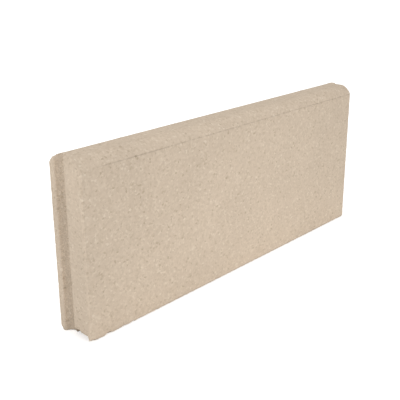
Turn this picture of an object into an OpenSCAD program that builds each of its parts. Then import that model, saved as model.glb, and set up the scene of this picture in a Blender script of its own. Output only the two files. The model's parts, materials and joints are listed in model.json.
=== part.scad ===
// Concrete kerb stone for edging a path or a bed.
// Its top is chamfered on both sides, and each chamfer swells a little.
// A half-round groove runs up one end and a tongue that fits it up the other.
// The stone stands on its base: X runs along the kerb, the front face looks towards -Y and Z is up.
// The origin is the middle of the base, half way along the laid length.

/* [Stone] */
// Laid length, from end face to end face without the tongue
laid_length = 500; // [250:10:1000]
// Height from the base to the flat on top
kerb_height = 200; // [150:5:300]
// Thickness from the front face to the back face
kerb_thickness = 50; // [45:1:80]

/* [Top chamfers] */
// How far each top chamfer cuts in from its face
chamfer_depth = 14; // [10:0.5:18]
// How far each top chamfer comes down from the top
chamfer_height = 12; // [9:0.5:20]
// How far the middle of each chamfer swells out from a flat one
chamfer_crown = 2; // [0.5:0.25:2.25]

/* [End joint] */
// Radius of the half-round groove in the left end
groove_radius = 7.25; // [5:0.25:10]
// Thickness of the lip of stone behind the groove
back_lip = 9.25; // [6:0.25:15]
// Gap left between a tongue and the groove that it enters
joint_clearance = 0.5; // [0.25:0.25:1.5]

/* [Arrises] */
// Size of the small flat that eases the base edges and the upright edges
arris = 1.5; // [0.5:0.25:2]

/* [Hidden] */
$fn = 96;

concrete = "#cdbfa9";
half_length = laid_length / 2;
half_thickness = kerb_thickness / 2;
chamfer_foot = kerb_height - chamfer_height;
half_top = half_thickness - chamfer_depth;
// The swell of a chamfer is part of a circle that passes through both ends of its straight line
chamfer_line = norm([chamfer_depth, chamfer_height]);
crown_radius = chamfer_line * chamfer_line / (8 * chamfer_crown) + chamfer_crown / 2;
crown_sink = (crown_radius - chamfer_crown) / chamfer_line;
crown_y = half_thickness - chamfer_depth / 2 - crown_sink * chamfer_height;
crown_z = kerb_height - chamfer_height / 2 - crown_sink * chamfer_depth;
tongue_radius = groove_radius - joint_clearance;
// The groove and the tongue share this distance from the middle of the thickness
joint_y = half_thickness - back_lip - groove_radius;
// How far a cutting profile runs past the stone
overrun = 5;
// How far a chamfer's cut starts before the ends of its swell, so that the swell alone ends it
lead_in = 0.05;

// What the mould keeps clear at the back top edge: a corner with the chamfer's swell taken out of it
module chamfer_cut() {
    difference() {
        translate([half_top - lead_in, chamfer_foot - lead_in])
        square([chamfer_depth + overrun, chamfer_height + overrun]);
        translate([crown_y, crown_z]) circle(crown_radius);
    }
}

// Outline of the stone across its length: eased at the base, chamfered on both sides of the top
module cross_section() {
    difference() {
        polygon([
            [-half_thickness + arris, 0],
            [half_thickness - arris, 0],
            [half_thickness, arris],
            [half_thickness, kerb_height],
            [-half_thickness, kerb_height],
            [-half_thickness, arris]
        ]);
        chamfer_cut();
        mirror([1, 0]) chamfer_cut();
    }
}

// Outline of the stone from above without its joint: a bar with four eased corners
module plan_bar() {
    polygon([
        [-half_length + arris, -half_thickness],
        [half_length - arris, -half_thickness],
        [half_length, -half_thickness + arris],
        [half_length, half_thickness - arris],
        [half_length - arris, half_thickness],
        [-half_length + arris, half_thickness],
        [-half_length, half_thickness - arris],
        [-half_length, -half_thickness + arris]
    ]);
}

// Outline of the stone from above, with the groove in the left end and the tongue on the right end
module plan() {
    difference() {
        plan_bar();
        translate([-half_length, joint_y]) circle(groove_radius);
    }
    translate([half_length, joint_y]) circle(tongue_radius);
}

// The stone is what the cross section drawn along X and the plan drawn up Z have in common, as in its mould
module kerb_stone() {
    reach = half_length + groove_radius + overrun;
    color(concrete)
    intersection() {
        translate([-reach, 0, 0])
        rotate([90, 0, 90])
        linear_extrude(2 * reach)
        cross_section();
        translate([0, 0, -overrun])
        linear_extrude(kerb_height + 2 * overrun)
        plan();
    }
}

kerb_stone();
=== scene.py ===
# %% [markdown]
# A concrete kerb stone, dressed for the eye.
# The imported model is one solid: a bar with a chamfered top, a groove up one end and a tongue up the other.
# The real stone is dry-cast: damp, sandy concrete is rammed into a steel mould and turned out at once.
# So its faces are flat and its edges straight, but the skin is sandy and pitted, and the foot crumbles.
# This lesson starts from the exact solid and adds that skin as real geometry, then as a material.

# %% Load the frame
import json
import math
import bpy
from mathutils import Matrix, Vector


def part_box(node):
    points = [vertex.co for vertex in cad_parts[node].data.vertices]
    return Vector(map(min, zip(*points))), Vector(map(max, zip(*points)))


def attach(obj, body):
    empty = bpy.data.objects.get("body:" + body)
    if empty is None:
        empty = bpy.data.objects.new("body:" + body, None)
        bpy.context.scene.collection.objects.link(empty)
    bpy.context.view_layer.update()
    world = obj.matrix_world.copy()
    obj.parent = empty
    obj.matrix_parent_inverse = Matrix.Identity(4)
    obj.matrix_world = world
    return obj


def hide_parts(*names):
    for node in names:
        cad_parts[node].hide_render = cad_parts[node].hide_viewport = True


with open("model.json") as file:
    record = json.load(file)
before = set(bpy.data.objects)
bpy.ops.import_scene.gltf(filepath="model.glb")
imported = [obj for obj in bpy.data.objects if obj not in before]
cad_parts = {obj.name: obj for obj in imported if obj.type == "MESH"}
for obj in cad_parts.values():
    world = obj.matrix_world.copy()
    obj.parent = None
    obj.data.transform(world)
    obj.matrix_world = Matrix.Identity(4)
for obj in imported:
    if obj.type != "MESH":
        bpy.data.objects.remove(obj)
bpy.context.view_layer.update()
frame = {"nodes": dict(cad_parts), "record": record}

from types import SimpleNamespace

import bmesh
import bpy
from mathutils import Matrix, Vector
from mathutils.bvhtree import BVHTree
from mathutils.kdtree import KDTree

MM = 0.001

# %% [markdown]
# The skin has to know where the stone's faces, chamfers and groove lie.
# Those sizes could be written down again here, but two copies drift apart.
# They are read from the solid and from its mounts, so they stay true if the solid changes.

# %% Read the stone's sizes
NODE = "kerb_stone"
FLATNESS = 0.01 * MM

low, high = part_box(NODE)
mounts = {mount["name"]: mount for mount in frame["record"]["mounts"]}
left_end, joint_y, base_z = mounts["groove_end"]["pos_m"]
groove_radius = mounts["groove_end"]["dims"]["r_mm"] * MM
front_points = [v.co for v in frame["nodes"][NODE].data.vertices if v.co.y - low.y < FLATNESS]
chamfer_foot = max(point.z for point in front_points)
print("chamfer starts at", round(chamfer_foot / MM, 1), "mm, joint lies at y =", round(joint_y / MM, 1), "mm")

# %% [markdown]
# A few small helpers are used all through. One adds a node with its settings and links, in any kind of tree.
# Others open a geometry tree, run it on an object and put a mesh in the scene.
# A tree's inputs are written once, as a table of names and values, and each value's type gives its socket.

# %% Helpers for node trees
SOCKET_KINDS = {bpy.types.Object: "Object", bpy.types.Material: "Material", Vector: "Vector",
                int: "Int", float: "Float"}


def add(tree, kind, inputs=None, **settings):
    """Adds one node. An input takes a plain value, a socket to link from, or a node for its first output."""
    node = tree.nodes.new(kind)
    for name, value in settings.items():
        setattr(node, name, value)
    for name, value in (inputs or {}).items():
        source = value.outputs[0] if isinstance(value, bpy.types.Node) else value
        if isinstance(source, bpy.types.NodeSocket):
            tree.links.new(source, node.inputs[name])
        else:
            node.inputs[name].default_value = source
    return node


def open_tree(name, inputs):
    """Starts a geometry tree with a mesh going in and out and a socket for each named input."""
    tree = bpy.data.node_groups.new(name, "GeometryNodeTree")
    tree.interface.new_socket("Geometry", in_out="INPUT", socket_type="NodeSocketGeometry")
    tree.interface.new_socket("Geometry", in_out="OUTPUT", socket_type="NodeSocketGeometry")
    for socket, value in inputs.items():
        kind = next(kind for sort, kind in SOCKET_KINDS.items() if isinstance(value, sort))
        tree.interface.new_socket(socket, in_out="INPUT", socket_type="NodeSocket" + kind)
    return tree, add(tree, "NodeGroupInput").outputs


def run_tree(obj, tree, inputs):
    """Runs a tree on an object with its inputs set by identifier, and returns the result as a plain mesh."""
    modifier = obj.modifiers.new(tree.name, "NODES")
    modifier.node_group = tree
    for item in tree.interface.items_tree:
        if item.in_out == "INPUT" and item.name in inputs:
            modifier[item.identifier] = inputs[item.name]
    graph = bpy.context.evaluated_depsgraph_get()
    graph.update()
    mesh = bpy.data.meshes.new_from_object(obj.evaluated_get(graph), depsgraph=graph)
    obj.modifiers.remove(modifier)
    return mesh


def place(name, mesh):
    """Puts a mesh in the scene as an object at the origin."""
    obj = bpy.data.objects.new(name, mesh)
    bpy.context.scene.collection.objects.link(obj)
    return obj


# %% [markdown]
# The solid arrives as long thin triangles with loose corners, which no relief can follow.
# Cutting those triangles finer would keep their slivers, so the net is laid anew.
# A copy is welded first. A voxel remesh then gives it an even net of small square faces, like a sheet of mesh
# laid over the stone.

# %% Weld a copy of the solid and give it an even net
WELD_DISTANCE = 0.001 * MM
NET_CELL = 3.0 * MM

cast = place("cast", frame["nodes"][NODE].data.copy())
weld = bmesh.new()
weld.from_mesh(cast.data)
bmesh.ops.remove_doubles(weld, verts=weld.verts, dist=WELD_DISTANCE)
weld.to_mesh(cast.data)

remesh = cast.modifiers.new("even net", "REMESH")
remesh.mode = "VOXEL"
remesh.voxel_size = NET_CELL
graph = bpy.context.evaluated_depsgraph_get()
net = bpy.data.meshes.new_from_object(cast.evaluated_get(graph), depsgraph=graph)
cast.modifiers.remove(remesh)
print("even net:", len(net.polygons), "faces")

# %% [markdown]
# Dry-cast concrete loses crumbs. Single grains leave round pits in the faces, and knocks leave chips along
# the arrises. A bump in the material could hint at them, but it would leave every edge dead straight.
# So both are real scoops: a ball of a given reach, with its middle outside the stone, pushes the skin in
# to its surface. A tree scatters the balls, pits over the faces and chips along every convex edge.

# %% Describe the scatter of pits and chips
# A draw from 0 to 1 is raised to this power, so that most scoops are small and a few are wide
RARITY = 3.0
# A seed of its own for the size of the chips, so that it doesn't follow the draw that keeps or drops them
CHIP_SEED = 7


def convex_edges(tree, given):
    """Picks the edges of the solid that are sharp and stick out."""
    angle = add(tree, "GeometryNodeInputMeshEdgeAngle").outputs["Signed Angle"]
    return add(tree, "FunctionNodeCompare", {0: angle, 1: given["Arris Angle"]},
               data_type="FLOAT", operation="GREATER_THAN")


def sized_balls(tree, given, sort, points, draw, direction):
    """Makes each point the middle of a ball, moved out of the stone by a share of the ball's reach."""
    rare = add(tree, "ShaderNodeMath", {0: draw, 1: RARITY}, operation="POWER")
    reach = add(tree, "ShaderNodeMapRange", {
        "Value": rare, "To Min": given[sort + " Reach Min"], "To Max": given[sort + " Reach Max"]})
    rise = add(tree, "ShaderNodeMath", {0: reach, 1: given[sort + " Proud"]}, operation="MULTIPLY")
    lift = add(tree, "ShaderNodeVectorMath", {0: direction, "Scale": rise}, operation="SCALE")
    raised = add(tree, "GeometryNodeSetPosition", {"Geometry": points, "Offset": lift})
    return add(tree, "GeometryNodeStoreNamedAttribute", {
        "Geometry": raised, "Name": "reach", "Value": reach}, data_type="FLOAT")


def scattered_pits(tree, given):
    """Pits lie anywhere on the faces."""
    pits = add(tree, "GeometryNodeDistributePointsOnFaces", {
        "Mesh": given["Geometry"], "Density": given["Pit Density"], "Seed": given["Seed"]})
    draw = add(tree, "FunctionNodeRandomValue", {"Seed": given["Seed"]}, data_type="FLOAT").outputs[1]
    return sized_balls(tree, given, "Pit", pits, draw, pits.outputs["Normal"])


def scattered_chips(tree, given):
    """Chips sit along the convex arrises: points at even steps, most of them dropped again."""
    normal = add(tree, "GeometryNodeInputNormal")
    marked = add(tree, "GeometryNodeStoreNamedAttribute", {
        "Geometry": given["Geometry"], "Name": "outward", "Value": normal},
        data_type="FLOAT_VECTOR", domain="POINT")
    arrises = add(tree, "GeometryNodeMeshToCurve", {"Mesh": marked, "Selection": convex_edges(tree, given)})
    spots = add(tree, "GeometryNodeCurveToPoints", {
        "Curve": arrises, "Length": given["Chip Spacing"]}, mode="LENGTH")
    chance = add(tree, "FunctionNodeRandomValue", {"Seed": given["Seed"]}, data_type="FLOAT").outputs[1]
    spared = add(tree, "FunctionNodeCompare", {0: chance, 1: given["Chip Share"]},
                 data_type="FLOAT", operation="GREATER_THAN")
    knocked = add(tree, "GeometryNodeDeleteGeometry", {
        "Geometry": spots, "Selection": spared}, domain="POINT")
    draw = add(tree, "FunctionNodeRandomValue", {"Seed": CHIP_SEED}, data_type="FLOAT").outputs[1]
    outward = add(tree, "GeometryNodeInputNamedAttribute", {"Name": "outward"}, data_type="FLOAT_VECTOR")
    direction = add(tree, "ShaderNodeVectorMath", {0: outward}, operation="NORMALIZE")
    return sized_balls(tree, given, "Chip", knocked, draw, direction)


def scatter_tree(inputs):
    """Turns a mesh into one point for each scoop."""
    tree, given = open_tree("scatter scoops", inputs)
    both = add(tree, "GeometryNodeJoinGeometry", {"Geometry": scattered_pits(tree, given)})
    tree.links.new(scattered_chips(tree, given).outputs[0], both.inputs["Geometry"])
    vertices = add(tree, "GeometryNodePointsToVertices", {"Points": both})
    add(tree, "NodeGroupOutput", {"Geometry": vertices})
    return tree


# %% [markdown]
# The tree runs on the welded solid and not on the even net, because only the solid still has its arrises as
# single sharp edges. What comes out is a cloud of points, each with the reach of its ball.
# The density is in pits per square metre, and the other sizes suit sand grains and small knocks.

# %% Scatter the pits and chips
ARRIS_ANGLE = math.radians(25)
PIT_REACH_MAX = 1.6 * MM
SCATTER = {
    "Pit Density": 450.0, "Pit Reach Min": 0.7 * MM, "Pit Reach Max": PIT_REACH_MAX, "Pit Proud": 0.5,
    "Chip Spacing": 9 * MM, "Chip Share": 0.3, "Chip Reach Min": 1.8 * MM, "Chip Reach Max": 4.5 * MM,
    "Chip Proud": 0.8, "Arris Angle": ARRIS_ANGLE, "Seed": 3,
}
scoops = place("scoops", run_tree(cast, scatter_tree(SCATTER), SCATTER))
print("scattered scoops:", len(scoops.data.vertices))

# %% [markdown]
# A few chips are plain in the photograph: the near and far corners of the left foot, two nicks in the front
# edge beside it, and one in the lip of the groove. A seed that put chips just there would be hard to find.
# So these five balls are listed one by one.

# %% Place the chips that the photograph shows
# The middle of each ball from the left end, the front face and the base, and its reach, all in mm
PHOTO_CHIPS = {
    "near corner": ((3.0, -7.0, -9.0), 14.5),
    "far corner": ((-3.0, 52.5, -2.0), 8.5),
    "front nick": ((26.0, -3.5, -3.5), 8.0),
    "second nick": ((48.0, -2.5, -2.5), 5.6),
    "groove lip": ((-1.6, 27.5, 126.0), 2.4),
}
corner = Vector((left_end, low.y, base_z))
chip_mesh = bpy.data.meshes.new("photo chips")
chip_mesh.from_pydata([corner + Vector(middle) * MM for middle, _ in PHOTO_CHIPS.values()], [], [])
chip_size = chip_mesh.attributes.new("reach", "FLOAT", "POINT")
for item, (_, reach) in zip(chip_size.data, PHOTO_CHIPS.values()):
    item.value = reach * MM
photo_chips = place("photo chips", chip_mesh)
print("placed chips:", ", ".join(PHOTO_CHIPS))

# %% [markdown]
# A pit of two millimetres needs cells of about half a millimetre. The whole net that fine would be too heavy.
# So only the faces along an arris or round a scoop are cut in four, in three rounds that close in on it.
# After each cut every point is laid back on the solid, and on the arris where one is near, so the edges
# stay crisp.

# %% Refine the net where the detail is
# For each round: how near an arris, a chip and a pit a face has to be
ROUNDS = ((4.5 * MM, 2.0 * MM, 2.5 * MM), (1.8 * MM, 0.5 * MM, 1.5 * MM), (0.0, -1.0, 0.5 * MM))
ARRIS_STEP = 0.25 * MM
# A point this near an arris goes onto it, as a share of the round's cell
SNAP_SHARE = 0.35

surface = BVHTree.FromBMesh(weld)


def tree_of(points):
    """Sorts points for finding the nearest one."""
    tree = KDTree(len(points))
    for index, point in enumerate(points):
        tree.insert(point, index)
    tree.balance()
    return tree


arris_points = []
for edge in weld.edges:
    if edge.calc_face_angle_signed() > ARRIS_ANGLE:
        start, end = (vert.co for vert in edge.verts)
        steps = max(1, round((end - start).length / ARRIS_STEP))
        arris_points += [start.lerp(end, step / steps) for step in range(steps + 1)]
arris_tree = tree_of(arris_points)
balls = [(vert.co.copy(), size.value) for source in (scoops.data, chip_mesh)
         for vert, size in zip(source.vertices, source.attributes["reach"].data)]
ball_tree = tree_of([middle for middle, _ in balls])


def needs_cut(point, arris_band, chip_band, pit_band):
    """Tells whether a face lies near enough to an arris, a chip or a pit."""
    _, index, distance = ball_tree.find(point)
    reach = balls[index][1]
    return (arris_tree.find(point)[2] < arris_band
            or distance < reach + (pit_band if reach <= PIT_REACH_MAX else chip_band))


skin = bmesh.new()
skin.from_mesh(net)
for number, bands in enumerate(ROUNDS, start=1):
    picked = [face for face in skin.faces if needs_cut(face.calc_center_median(), *bands)]
    cut = {edge for face in picked for edge in face.edges}
    bmesh.ops.subdivide_edges(skin, edges=list(cut), cuts=1, use_grid_fill=True)
    snap = SNAP_SHARE * NET_CELL / 2 ** number
    for vert in skin.verts:
        vert.co = surface.find_nearest(vert.co)[0]
        on_arris, _, distance = arris_tree.find(vert.co)
        if distance < snap:
            vert.co = on_arris
fine = bpy.data.meshes.new("fine net")
skin.to_mesh(fine)
skin.free()
weld.free()
fine.calc_loop_triangles()
print("refined net:", len(fine.polygons), "faces,", len(fine.loop_triangles), "triangles")

# %% [markdown]
# A second tree weathers the skin. Its steps share a few fields, made once: where a point lies and which way
# it faces, the corners of the solid, and a noise with lumps the size of a crumb.
# Sculpting by hand could give the same skin, but not twice, and not on a stone of another size.

# %% Fields that the steps share
# Nearly all of a noise texture's values lie between these two
NOISE = {"From Min": 0.3, "From Max": 0.7}
# Full strength at the start of a range, none at its end
FALLING = {"To Min": 1.0, "To Max": 0.0}


def lumps(tree, where, size, detail):
    """A noise whose lumps have a real size."""
    scale = add(tree, "ShaderNodeMath", {0: 1.0, 1: size}, operation="DIVIDE")
    return add(tree, "ShaderNodeTexNoise", {"Vector": where, "Scale": scale, "Detail": detail})


def shared_fields(tree, given):
    """What the steps ask of a point, and the solid's corners, each split by axis."""
    where = add(tree, "GeometryNodeInputPosition").outputs[0]
    normal = add(tree, "GeometryNodeInputNormal").outputs[0]
    split = {name: add(tree, "ShaderNodeSeparateXYZ", {0: source}).outputs for name, source in (
        ("axes", where), ("facing", normal), ("low", given["Low Corner"]), ("high", given["High Corner"]))}
    crumb = lumps(tree, where, given["Crumb Size"], detail=2.0)
    return SimpleNamespace(where=where, normal=normal, crumb=crumb, **split)


def near_arris(tree, given):
    """Is 1 on the sharp arrises of the solid and falls to 0 beside them."""
    solid = add(tree, "GeometryNodeObjectInfo", {"Object": given["Cast"]}).outputs["Geometry"]
    arrises = add(tree, "GeometryNodeSeparateGeometry", {
        "Geometry": solid, "Selection": convex_edges(tree, given)}, domain="EDGE")
    nearest = add(tree, "GeometryNodeProximity", {"Geometry": arrises}, target_element="EDGES")
    return add(tree, "ShaderNodeMapRange", {
        "Value": nearest.outputs["Distance"], "From Max": given["Arris Width"], **FALLING},
        interpolation_type="SMOOTHSTEP")


# %% [markdown]
# The seam is a fine broken line at the foot of each chamfer, where the chamfer's former meets the mould wall.
# A line drawn in the material would stay flat, so it is a number that both the relief and the shade use.
# A noise breaks it into dashes, and it fades in from the left end, as in the photograph.

# %% Draw the seam
# The noise below which a dash is faintest, the noise above which it is full, and how faint it gets
DASHES = {"From Min": 0.35, "From Max": 0.55, "To Min": 0.35, "To Max": 1.0}


def seam_line(tree, given, at):
    """Is 1 on the seam and less in its gaps, and falls to 0 beside it and towards the left end."""
    off_middle = add(tree, "ShaderNodeMath", {0: at.axes["Y"]}, operation="ABSOLUTE")
    from_face = add(tree, "ShaderNodeMath", {0: off_middle, 1: at.high["Y"]}, operation="SUBTRACT")
    from_foot = add(tree, "ShaderNodeMath", {0: at.axes["Z"], 1: given["Chamfer Foot"]}, operation="SUBTRACT")
    away = add(tree, "ShaderNodeCombineXYZ", {"Y": from_face, "Z": from_foot})
    distance = add(tree, "ShaderNodeVectorMath", {0: away}, operation="LENGTH").outputs["Value"]
    line = add(tree, "ShaderNodeMapRange", {
        "Value": distance, "From Max": given["Seam Width"], **FALLING}, interpolation_type="SMOOTHSTEP")
    broken = lumps(tree, at.where, given["Seam Dash"], detail=2.0)
    dashes = add(tree, "ShaderNodeMapRange", {"Value": broken, **DASHES})
    start = add(tree, "ShaderNodeMath", {0: at.low["X"], 1: given["Seam Start"]}, operation="ADD")
    started = add(tree, "ShaderNodeMapRange", {
        "Value": at.axes["X"], "From Min": at.low["X"], "From Max": start}, interpolation_type="SMOOTHERSTEP")
    seam = line
    for part in (dashes, started):
        seam = add(tree, "ShaderNodeMath", {0: seam, 1: part}, operation="MULTIPLY")
    return seam


# %% [markdown]
# A pit or chip is what a ball takes away. Cutting each ball out of the mesh would be slow and could leave
# it open. Instead each point looks up the nearest ball, and a point inside it moves straight away from the
# ball's middle.

# %% Scoop out the pits and chips
def scoop(tree, given, source, at):
    """The way out of the nearest ball, and how deep the point lies in it as a share of the ball's reach."""
    balls = add(tree, "GeometryNodeObjectInfo", {"Object": given[source]}).outputs["Geometry"]
    nearest = add(tree, "GeometryNodeSampleNearest", {"Geometry": balls}, domain="POINT")
    ball_place = add(tree, "GeometryNodeInputPosition")
    ball_reach = add(tree, "GeometryNodeInputNamedAttribute", {"Name": "reach"}, data_type="FLOAT")
    middle = add(tree, "GeometryNodeSampleIndex", {
        "Geometry": balls, "Value": ball_place, "Index": nearest}, data_type="FLOAT_VECTOR", domain="POINT")
    reach = add(tree, "GeometryNodeSampleIndex", {
        "Geometry": balls, "Value": ball_reach, "Index": nearest}, data_type="FLOAT", domain="POINT")
    away = add(tree, "ShaderNodeVectorMath", {0: at.where, 1: middle}, operation="SUBTRACT")
    distance = add(tree, "ShaderNodeVectorMath", {0: away}, operation="LENGTH").outputs["Value"]
    short = add(tree, "ShaderNodeMath", {0: reach, 1: distance}, operation="SUBTRACT")
    bite = add(tree, "ShaderNodeMath", {0: short, 1: 0.0}, operation="MAXIMUM")
    direction = add(tree, "ShaderNodeVectorMath", {0: away}, operation="NORMALIZE")
    push = add(tree, "ShaderNodeVectorMath", {0: direction, "Scale": bite}, operation="SCALE")
    return push, add(tree, "ShaderNodeMath", {0: bite, 1: reach}, operation="DIVIDE")


# %% [markdown]
# The base edge of the left end is broken away to a ragged slope, from the front corner to the groove.
# It is a plane across the corner between end and base, whose size changes with Y: small at the front corner,
# full behind it, a little larger towards the groove and next to nothing beyond.
# A cut would have to be closed again. A point past the plane goes straight out to it instead, which keeps the
# net whole.

# %% Break the foot
# The break's size at the noise's low and high end, as a share of its mean
RAGGED = {"To Min": 0.8, "To Max": 1.2}
# The share of the break's size that is left from the middle of the groove backwards
LEFT_BEHIND = 0.02


def broken_foot(tree, given, at):
    """How far past the broken slope a point lies, and the way out to it."""
    corner_end = add(tree, "ShaderNodeMath", {0: at.low["Y"], 1: given["Corner Length"]}, operation="ADD")
    lip = add(tree, "ShaderNodeMath", {0: given["Joint Y"], 1: given["Groove Radius"]}, operation="SUBTRACT")
    size = add(tree, "ShaderNodeMapRange", {"Value": at.crumb, **NOISE, **RAGGED})
    for start, end, first, last in ((at.low["Y"], corner_end, given["Corner Share"], 1.0),
                                    (corner_end, lip, 1.0, given["Lip Share"]),
                                    (lip, given["Joint Y"], 1.0, LEFT_BEHIND)):
        part = add(tree, "ShaderNodeMapRange", {
            "Value": at.axes["Y"], "From Min": start, "From Max": end, "To Min": first, "To Max": last},
            interpolation_type="SMOOTHSTEP")
        size = add(tree, "ShaderNodeMath", {0: size, 1: part}, operation="MULTIPLY")
    shares, steeps = [], []
    for axis, length in (("X", "Break Length"), ("Z", "Break Height")):
        inner = add(tree, "ShaderNodeMath", {0: at.axes[axis], 1: at.low[axis]}, operation="SUBTRACT")
        full = add(tree, "ShaderNodeMath", {0: size, 1: given[length]}, operation="MULTIPLY")
        shares.append(add(tree, "ShaderNodeMath", {0: inner, 1: full}, operation="DIVIDE"))
        steeps.append(add(tree, "ShaderNodeMath", {0: 1.0, 1: full}, operation="DIVIDE"))
    across = add(tree, "ShaderNodeMath", {0: shares[0], 1: shares[1]}, operation="ADD")
    missing = add(tree, "ShaderNodeMath", {0: 1.0, 1: across}, operation="SUBTRACT")
    over = add(tree, "ShaderNodeMath", {0: missing, 1: 0.0}, operation="MAXIMUM")
    slope = add(tree, "ShaderNodeCombineXYZ", {"X": steeps[0], "Z": steeps[1]})
    square = add(tree, "ShaderNodeVectorMath", {0: slope, 1: slope}, operation="DOT_PRODUCT").outputs["Value"]
    travel = add(tree, "ShaderNodeMath", {0: over, 1: square}, operation="DIVIDE")
    return over, add(tree, "ShaderNodeVectorMath", {0: slope, "Scale": travel}, operation="SCALE")


# %% [markdown]
# The stone isn't one even colour, and its colour also carries painted light and shade.
# Painted shade darkens the seam, the crumbled base, the broken foot, the groove and a little the flat top,
# and the pits, which also hold some dust. A painted highlight lightens the groove's rim and the front edge of
# the end. Painted shade darkens the front and back towards the head and the ends towards the foot.
# These could be masks in the material, but the tree already knows where each place is.
# So it writes one number per point, the shade, which the material multiplies into its colour.

# %% Paint shade and highlights into the colour
# How far outside its radius a point still counts as part of the groove
GROOVE_MARGIN = 0.4 * MM
# How level a face has to be to count as the flat top, as the upward part of its normal
FLAT_ENOUGH = 0.95
# How far past the broken slope a point has to lie for the painted shade there to be full, as a share of the
# slope
TORN_THROUGH = 0.2


def groove_place(tree, given, at):
    """Tells whether a point lies in the groove, and the painted shade there: darker in the recess and towards
    the foot, with a painted highlight towards the rim.
    """
    inward = add(tree, "ShaderNodeMath", {0: at.axes["X"], 1: at.low["X"]}, operation="SUBTRACT")
    sideways = add(tree, "ShaderNodeMath", {0: at.axes["Y"], 1: given["Joint Y"]}, operation="SUBTRACT")
    from_axis = add(tree, "ShaderNodeCombineXYZ", {"X": inward, "Y": sideways})
    distance = add(tree, "ShaderNodeVectorMath", {0: from_axis}, operation="LENGTH").outputs["Value"]
    rim = add(tree, "ShaderNodeMath", {0: given["Groove Radius"], 1: GROOVE_MARGIN}, operation="ADD")
    in_groove = add(tree, "ShaderNodeMath", {0: distance, 1: rim}, operation="LESS_THAN")
    # Painted shade: the groove is drawn darker than its recess alone makes it, more so at the foot
    by_height = add(tree, "ShaderNodeMapRange", {
        "Value": at.axes["Z"], "From Min": at.low["Z"], "From Max": at.high["Z"],
        "To Min": given["Groove Foot Shade"], "To Max": given["Groove Head Shade"]})
    # Painted highlight: the groove's back wall is drawn paler towards the rim
    rim_highlight = add(tree, "ShaderNodeMapRange", {
        "Value": inward, "From Max": given["Rim Depth"], "To Min": given["Rim Highlight"], "To Max": 1.0})
    return in_groove, add(tree, "ShaderNodeMath", {0: by_height, 1: rim_highlight}, operation="MULTIPLY")


# The mask of a painted highlight on the end's front edge, where the rounded arris would catch the light
def front_edge(tree, given, at):
    """Is 1 on the end's front edge and falls to 0 behind it."""
    band_end = add(tree, "ShaderNodeMath", {0: at.low["Y"], 1: given["Edge Band"]}, operation="ADD")
    near = add(tree, "ShaderNodeMapRange", {
        "Value": at.axes["Y"], "From Min": at.low["Y"], "From Max": band_end, **FALLING},
        interpolation_type="SMOOTHSTEP")
    on_end = add(tree, "ShaderNodeMath", {0: at.facing["X"]}, operation="ABSOLUTE")
    return add(tree, "ShaderNodeMath", {0: near, 1: on_end}, operation="MULTIPLY")


def shade_of(tree, given, at, marks, groove_shade):
    """Multiplies the painted shade or highlight of each marked place, then the painted shade of the long
    faces and ends by height.
    """
    # Painted shade: the flat top is drawn a little darker, as if less light fell on it
    on_top = add(tree, "ShaderNodeMapRange", {
        "Value": at.facing["Z"], "From Min": FLAT_ENOUGH, "From Max": 1.0})
    # Painted shade: the broken slope of the foot faces down and is drawn darker
    torn = add(tree, "ShaderNodeMapRange", {"Value": marks.over, "From Max": TORN_THROUGH})
    shade = 1.0
    # Painted shade: the seam's fine crease is drawn darker
    for mark, full in ((marks.seam, given["Seam Shade"]), (marks.in_groove, groove_shade),
                       (on_top, given["Top Shade"]), (marks.pit, given["Pit Shade"]),
                       (marks.at_base, given["Base Shade"]), (torn, given["Break Shade"]),
                       (front_edge(tree, given, at), given["Edge Highlight"])):
        here = add(tree, "ShaderNodeMapRange", {"Value": mark, "To Min": 1.0, "To Max": full})
        shade = add(tree, "ShaderNodeMath", {0: shade, 1: here}, operation="MULTIPLY")
    # Painted shade by height: the front and back grow darker towards the head, the ends darker towards the
    # foot
    for axis, foot, head in (("Y", given["Foot Painted Shade"], given["Head Painted Shade"]),
                             ("X", given["End Foot Painted Shade"], 1.0)):
        by_height = add(tree, "ShaderNodeMapRange", {
            "Value": at.axes["Z"], "From Min": at.low["Z"], "From Max": given["Chamfer Foot"],
            "To Min": foot, "To Max": head})
        share = add(tree, "ShaderNodeMath", {0: at.facing[axis]}, operation="ABSOLUTE")
        level = add(tree, "ShaderNodeMix", {"Factor": share, "A": 1.0, "B": by_height})
        shade = add(tree, "ShaderNodeMath", {0: shade, 1: level}, operation="MULTIPLY")
    return shade


# %% [markdown]
# What is left of the relief is shallow: worn arrises, a base edge that crumbles in places, the seam, crumbs
# all over and slow waves from the mould. A bump could show it on the faces, but not along the outline.
# So each is a real depth, and their sum sinks the skin along its normal.

# %% Sink the relief
# The wear of an arris at the noise's low and high end, as a share of its mean
WANDER = {"To Min": 0.3, "To Max": 1.7}
# The noise at which the base edge starts to crumble, and the noise at which it has crumbled most
CRUMBLE = {"From Min": 0.42, "From Max": 0.62}


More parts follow.
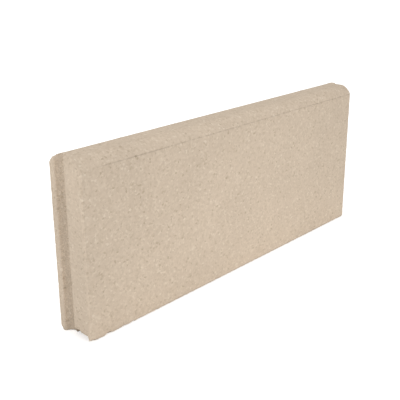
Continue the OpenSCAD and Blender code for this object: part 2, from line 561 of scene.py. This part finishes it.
def relief_of(tree, given, at, arris, marks):
    """The way each point sinks into the stone."""
    wander = add(tree, "ShaderNodeMapRange", {"Value": at.crumb, **NOISE, **WANDER})
    arris_wear = add(tree, "ShaderNodeMath", {0: wander, 1: given["Arris Wear"]}, operation="MULTIPLY")
    crumbled = add(tree, "ShaderNodeMapRange", {"Value": at.crumb, **CRUMBLE, "To Max": given["Base Wear"]})
    base_wear = add(tree, "ShaderNodeMath", {0: marks.at_base, 1: crumbled}, operation="MULTIPLY")
    wear = add(tree, "ShaderNodeMath", {0: arris_wear, 1: base_wear}, operation="ADD")
    total = add(tree, "ShaderNodeMath", {0: wear, 1: arris}, operation="MULTIPLY")
    wave = lumps(tree, at.where, given["Wave Size"], detail=1.0)
    for pattern, depth in ((marks.seam, "Seam Depth"), (at.crumb, "Crumb Depth"), (wave, "Wave Depth")):
        bite = add(tree, "ShaderNodeMath", {0: pattern, 1: given[depth]}, operation="MULTIPLY")
        total = add(tree, "ShaderNodeMath", {0: total, 1: bite}, operation="ADD")
    inward = add(tree, "ShaderNodeMath", {0: total, 1: -1.0}, operation="MULTIPLY")
    return add(tree, "ShaderNodeVectorMath", {0: at.normal, "Scale": inward}, operation="SCALE")


# %% [markdown]
# The weathering tree puts the steps in order. It stores the shade and the rough groove while the skin still
# lies on the solid. Then it smooths the facets of the curved faces, breaks the foot, scoops and sinks.
# After the smoothing each step only goes inwards, and a last one keeps the skin inside the solid's box.

# %% Build the weathering tree
SMOOTHING_ROUNDS = 3


def weathering_tree(inputs):
    """Turns the fine net into the weathered stone."""
    tree, given = open_tree("weather the skin", inputs)
    at = shared_fields(tree, given)
    arris = near_arris(tree, given)
    pushes, depths = zip(*(scoop(tree, given, source, at) for source in ("Scoops", "Photo Chips")))
    over, lift = broken_foot(tree, given, at)
    in_groove, groove_shade = groove_place(tree, given, at)
    # The base band is worn, and also drawn darker: painted shade along the foot where the stone meets the
    # floor
    at_base = add(tree, "ShaderNodeMapRange", {
        "Value": at.axes["Z"], "From Min": at.low["Z"], "From Max": given["Base Band"], **FALLING},
        interpolation_type="SMOOTHSTEP")
    # A pit is drawn darker by its depth: partly dust in it, partly painted shade in the hollow
    marks = SimpleNamespace(seam=seam_line(tree, given, at), pit=depths[0], over=over,
                            in_groove=in_groove, at_base=at_base)

    # Stored numbers for the material: the shade, which is painted shade and highlights with some dust, and
    # the rough groove
    skin = given["Geometry"]
    for name, value in (("shade", shade_of(tree, given, at, marks, groove_shade)), ("rough", in_groove)):
        skin = add(tree, "GeometryNodeStoreNamedAttribute", {
            "Geometry": skin, "Name": name, "Value": value}, data_type="FLOAT", domain="POINT")

    # Away from the arrises each point moves to the mean of its neighbours, which rounds the facets
    off_arris = add(tree, "ShaderNodeMath", {0: 1.0, 1: arris}, operation="SUBTRACT")
    mean_place = add(tree, "GeometryNodeBlurAttribute", {
        "Value": at.where, "Iterations": SMOOTHING_ROUNDS, "Weight": off_arris}, data_type="FLOAT_VECTOR")
    skin = add(tree, "GeometryNodeSetPosition", {"Geometry": skin, "Position": mean_place})

    for step in (lift, *pushes, relief_of(tree, given, at, arris, marks)):
        skin = add(tree, "GeometryNodeSetPosition", {"Geometry": skin, "Offset": step})

    # Keep inside the solid's box, then finish
    above = add(tree, "ShaderNodeVectorMath", {0: at.where, 1: given["Low Corner"]}, operation="MAXIMUM")
    inside = add(tree, "ShaderNodeVectorMath", {0: above, 1: given["High Corner"]}, operation="MINIMUM")
    boxed = add(tree, "GeometryNodeSetPosition", {"Geometry": skin, "Position": inside})
    smooth = add(tree, "GeometryNodeSetShadeSmooth", {"Geometry": boxed, "Shade Smooth": True})
    dressed = add(tree, "GeometryNodeSetMaterial", {"Geometry": smooth, "Material": given["Material"]})
    real = add(tree, "GeometryNodeRealizeInstances", {"Geometry": dressed})
    add(tree, "NodeGroupOutput", {"Geometry": real})
    return tree


# %% [markdown]
# The material is dry-cast concrete: a cement paste the colour of its sand, with single grains showing
# through. It gives the eye a dead matt, warm beige face that is never even: light and dark grains and slow
# blotches.
# A photograph of concrete would repeat and carry its own light, so cells and noise of real sizes are used.
# Sand much finer than a millimetre can't show in the render, so the grains are drawn as coarse as they need
# to be.

# %% Mix the concrete
def linear(hex_colour):
    """Turns an sRGB hex colour into the linear values that a shader takes."""
    channels = [int(hex_colour[i:i + 2], 16) / 255 for i in (1, 3, 5)]
    return tuple(c / 12.92 if c <= 0.04045 else ((c + 0.055) / 1.055) ** 2.4 for c in channels) + (1.0,)


# Where a grain's draw falls on this scale decides whether it is dark sand, paste or pale quartz
GRAINS = {0.0: "#bbaa95", 0.04: "#c7b6a1", 0.2: "#ccbba7", 0.5: "#cfbeaa", 0.8: "#d2c1ad", 0.96: "#d6c6b2",
          1.0: "#dccdba"}
GRAIN_SIZE = 2.2 * MM
SAND_SIZE = 1.2 * MM
BLOTCH_SIZE = 70 * MM
# How much each pattern darkens and lightens the colour; the coarse one is for the rough groove
SAND_TONES = {"To Min": 0.975, "To Max": 1.025}
COARSE_TONES = {"To Min": 0.86, "To Max": 1.14}
BLOTCH_TONES = {"To Min": 0.97, "To Max": 1.03}

concrete = bpy.data.materials.new("dry_cast_concrete")
concrete.use_nodes = True
mix = concrete.node_tree
mix.nodes.clear()
where = add(mix, "ShaderNodeTexCoord").outputs["Object"]
grains = add(mix, "ShaderNodeTexVoronoi", {"Vector": where, "Scale": 1 / GRAIN_SIZE})
draw = add(mix, "ShaderNodeSeparateColor", {0: grains.outputs["Color"]})
palette = add(mix, "ShaderNodeValToRGB", {0: draw})
ramp = palette.color_ramp.elements
FIRST_STOPS = len(ramp)
for index, (stop, colour) in enumerate(GRAINS.items()):
    element = ramp[index] if index < FIRST_STOPS else ramp.new(stop)
    element.position, element.color = stop, linear(colour)
sand = add(mix, "ShaderNodeTexNoise", {"Vector": where, "Scale": 1 / SAND_SIZE, "Detail": 1.0})
sand_tone = add(mix, "ShaderNodeMapRange", {"Value": sand, **NOISE, **SAND_TONES})
coarse_tone = add(mix, "ShaderNodeMapRange", {"Value": sand, **NOISE, **COARSE_TONES})
rough = add(mix, "ShaderNodeAttribute", attribute_name="rough").outputs["Fac"]
skin_tone = add(mix, "ShaderNodeMix", {"Factor": rough, "A": sand_tone, "B": coarse_tone})
blotch = add(mix, "ShaderNodeTexNoise", {"Vector": where, "Scale": 1 / BLOTCH_SIZE, "Detail": 3.0})
blotch_tone = add(mix, "ShaderNodeMapRange", {"Value": blotch, **NOISE, **BLOTCH_TONES})
tone = add(mix, "ShaderNodeMath", {0: skin_tone, 1: blotch_tone}, operation="MULTIPLY")
# The shade from the tree is painted shade and highlights, with some dust in the pits
shade = add(mix, "ShaderNodeAttribute", attribute_name="shade").outputs["Fac"]
tone_and_painted_shade = add(mix, "ShaderNodeMath", {0: tone, 1: shade}, operation="MULTIPLY")
colour = add(mix, "ShaderNodeVectorMath", {0: palette, "Scale": tone_and_painted_shade}, operation="SCALE")
bump = add(mix, "ShaderNodeBump", {"Height": sand, "Distance": 0.3 * MM, "Strength": 0.6})
matt_face = add(mix, "ShaderNodeBsdfPrincipled", {
    "Base Color": colour, "Roughness": 0.95, "Specular IOR Level": 0.1, "Normal": bump})
add(mix, "ShaderNodeOutputMaterial", {"Surface": matt_face})
print("material:", concrete.name, "with", len(GRAINS), "grain colours")

# %% [markdown]
# Now the tree runs, with every depth, length and shade in one table.
# Lengths are real sizes. A shade under 1 darkens and one over 1 lightens.
# The dressed stone rides on the part's one body and takes the place of the plain solid.

# %% Weather the stone
WEATHER = {
    "Low Corner": low, "High Corner": high,
    "Joint Y": joint_y, "Groove Radius": groove_radius, "Chamfer Foot": chamfer_foot,
    "Break Length": 12.5 * MM, "Break Height": 8 * MM,
    "Corner Length": 7 * MM, "Corner Share": 0.15, "Lip Share": 1.25,
    "Arris Angle": ARRIS_ANGLE, "Arris Wear": 0.15 * MM, "Arris Width": 1.2 * MM,
    "Base Wear": 1.0 * MM, "Base Band": 3 * MM,
    "Seam Width": 1.2 * MM, "Seam Depth": 0.5 * MM, "Seam Dash": 7 * MM, "Seam Start": 45 * MM,
    "Wave Size": 80 * MM, "Wave Depth": 0.15 * MM, "Crumb Size": 6 * MM, "Crumb Depth": 0.15 * MM,
    "Seam Shade": 0.82, "Top Shade": 0.945, "Pit Shade": 0.85, "Base Shade": 0.85, "Break Shade": 0.85,
    "Groove Foot Shade": 0.87, "Groove Head Shade": 0.93, "Rim Highlight": 1.24, "Rim Depth": 5.5 * MM,
    "Edge Highlight": 1.12, "Edge Band": 3.5 * MM,
    "Foot Painted Shade": 1.0, "Head Painted Shade": 0.915, "End Foot Painted Shade": 0.94,
    "Cast": cast, "Scoops": scoops, "Photo Chips": photo_chips, "Material": concrete,
}
piece = place("net", fine)
stone = place("weathered_stone", run_tree(piece, weathering_tree(WEATHER), WEATHER))
for helper in (piece, scoops, photo_chips, cast):
    bpy.data.objects.remove(helper)
stone.data.calc_loop_triangles()
print("weathered stone:", len(stone.data.loop_triangles), "triangles")
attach(stone, "root")
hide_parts(NODE)

# %% [markdown]
# The camera stands in front and to the left, a little above the stone, as in the photograph.
# Its place and lens were fitted to the stone's outline there, so the two pictures can be laid one over the
# other.

# %% Set the camera
EYE = Vector((-676.9, -559.2, 398.9)) * MM
AZIMUTH = math.radians(48.31)
PITCH = math.radians(-19.55)
ROLL = math.radians(-0.24)
LENS = 66.14
SENSOR_WIDTH = 36.0

camera_data = bpy.data.cameras.new("camera")
camera_data.lens = LENS
camera_data.sensor_width = SENSOR_WIDTH
camera = bpy.data.objects.new("camera", camera_data)
bpy.context.scene.collection.objects.link(camera)
level_view = Matrix.Rotation(-AZIMUTH, 4, "Z") @ Matrix.Rotation(math.pi / 2 + PITCH, 4, "X")
turn = level_view @ Matrix.Rotation(ROLL, 4, "Z")
camera.matrix_world = Matrix.Translation(EYE) @ turn
bpy.context.scene.camera = camera
print("camera:", round(EYE.length / MM), "mm from the origin, lens", LENS, "mm")

# %% [markdown]
# The floor is painted white. To be as white as the backdrop it could be lit harder, but that would bleach
# the stone. Instead a glow is added for the rays that show the background, so the stone's light stays as
# it is and the floor keeps the stone's shadow.

# %% Lay the floor
FLOOR_HALF = 6.0
FLOOR_GREY = (0.9, 0.9, 0.9, 1.0)
FLOOR_GLOW = (0.5, 0.5, 0.5, 1.0)


def plain_view(tree):
    """Is 1 for rays that show the background, straight or by way of a mirror or glass, and 0 for the rest."""
    path = add(tree, "ShaderNodeLightPath").outputs
    shown = path["Is Camera Ray"]
    for ray in ("Is Glossy Ray", "Is Transmission Ray"):
        shown = add(tree, "ShaderNodeMath", {0: shown, 1: path[ray]}, operation="MAXIMUM")
    return shown


floor_mesh = bpy.data.meshes.new("floor")
floor_mesh.from_pydata(
    [(-FLOOR_HALF, -FLOOR_HALF, base_z), (FLOOR_HALF, -FLOOR_HALF, base_z),
     (FLOOR_HALF, FLOOR_HALF, base_z), (-FLOOR_HALF, FLOOR_HALF, base_z)], [], [(0, 1, 2, 3)])
floor = place("floor", floor_mesh)
floor_paint = bpy.data.materials.new("white_floor_paint")
floor_paint.use_nodes = True
coat = floor_paint.node_tree
coat.nodes.clear()
matt = add(coat, "ShaderNodeBsdfDiffuse", {"Color": FLOOR_GREY})
glow = add(coat, "ShaderNodeEmission", {"Strength": plain_view(coat), "Color": FLOOR_GLOW})
both = add(coat, "ShaderNodeAddShader", {0: matt, 1: glow})
add(coat, "ShaderNodeOutputMaterial", {"Surface": both})
floor_mesh.materials.append(floor_paint)
print("floor:", 2 * FLOOR_HALF, "m wide")

# %% [markdown]
# The studio is a light tent, white all round, with three small softboxes inside it.
# The tent alone would light every face alike. The front softbox stands low and a little right of the middle,
# so the front fades gently towards its ends and its top. The end softbox lifts the left end, and the head
# softbox hangs over the left half, so the chamfer darkens to the right.

# %% Light the studio
WHITE = (1.0, 1.0, 1.0, 1.0)
TENT_LEVEL = 0.835
SOFTBOX_SIZE = 200 * MM
# Each softbox: where it stands, which way it faces, and its power in watts
SOFTBOXES = {
    "front softbox": (Vector((20, -525, 60)) * MM, Vector((0, 1, 0)), 0.74),
    "end softbox": (Vector((-750, 0, 100)) * MM, Vector((1, 0, 0)), 0.38),
    "head softbox": (Vector((-130, 0, 800)) * MM, Vector((0, 0, -1)), 0.62),
}
for name, (spot, facing, power) in SOFTBOXES.items():
    lamp = bpy.data.lights.new(name, "AREA")
    lamp.size, lamp.energy = SOFTBOX_SIZE, power
    softbox = bpy.data.objects.new(name, lamp)
    softbox.matrix_world = Matrix.Translation(spot) @ facing.to_track_quat("-Z", "Y").to_matrix().to_4x4()
    softbox.visible_camera = False
    bpy.context.scene.collection.objects.link(softbox)

world = bpy.data.worlds.new("light_tent")
bpy.context.scene.world = world
world.use_nodes = True
sky = world.node_tree
sky.nodes.clear()
tent = add(sky, "ShaderNodeBackground", {"Color": WHITE, "Strength": TENT_LEVEL})
backdrop = add(sky, "ShaderNodeBackground", {"Color": WHITE, "Strength": 1.0})
seen = add(sky, "ShaderNodeMixShader", {0: plain_view(sky), 1: tent, 2: backdrop})
add(sky, "ShaderNodeOutputWorld", {"Surface": seen})
bpy.context.scene.view_settings.view_transform = "Standard"
print("studio: a tent at", TENT_LEVEL, "and", ", ".join(SOFTBOXES))
